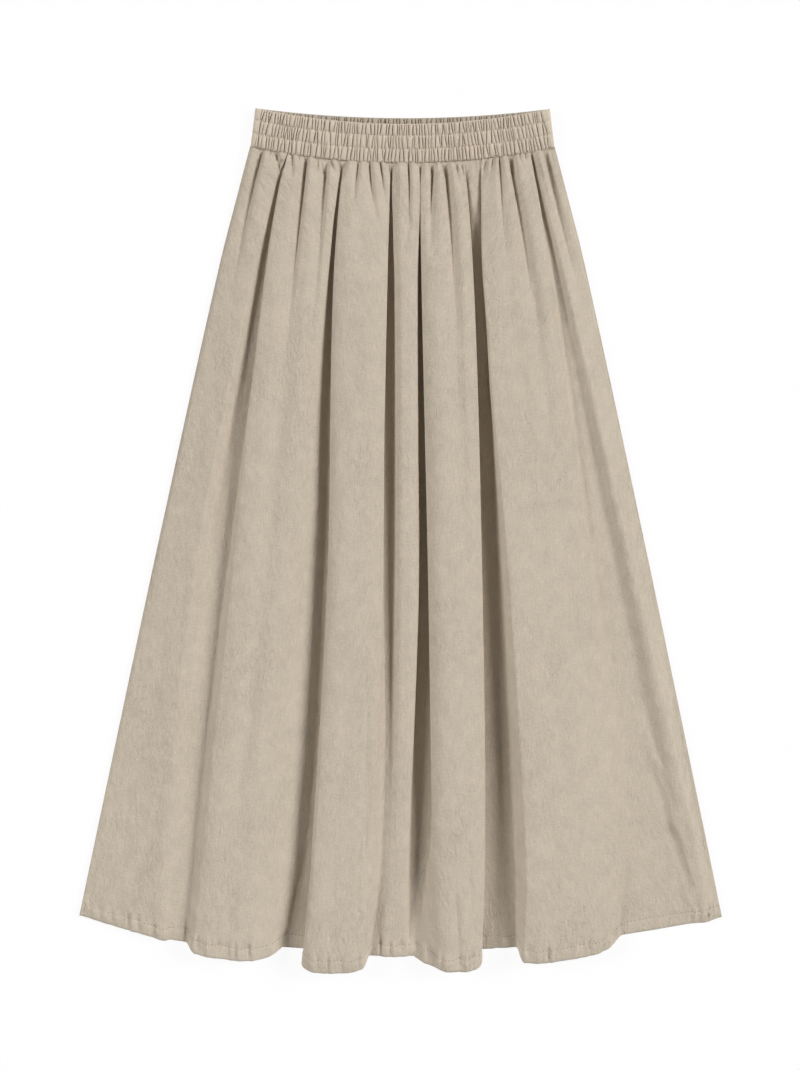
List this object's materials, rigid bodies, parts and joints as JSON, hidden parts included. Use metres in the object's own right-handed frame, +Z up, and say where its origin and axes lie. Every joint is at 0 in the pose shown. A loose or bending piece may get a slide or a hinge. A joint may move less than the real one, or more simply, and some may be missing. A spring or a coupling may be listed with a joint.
{
  "type": "a-line midi skirt",
  "caption": "A-line midi skirt laid flat, front up, with a ruched elastic waistband and long soft folds that widen down to a waved hem.",
  "frame": {"origin": "middle of the laid-out skirt's box, on the surface it lies on", "axes": "+Y from the hem to the waist, +X to the right as seen from above with the waist up, +Z up out of the cloth, from the back panel to the front panel"},
  "size_m": [0.6422, 0.8635, 0.0299],
  "materials": {
    "linen_cloth": "matte linen weave with slubs, oatmeal colour",
    "waistband_cloth": "the same linen, gathered on elastic into fine ribs"
  },
  "bodies": {
    "root": {"front_panel": "linen_cloth", "back_panel": "linen_cloth", "waistband_front": "waistband_cloth", "waistband_back": "waistband_cloth"}
  },
  "joints": []
}
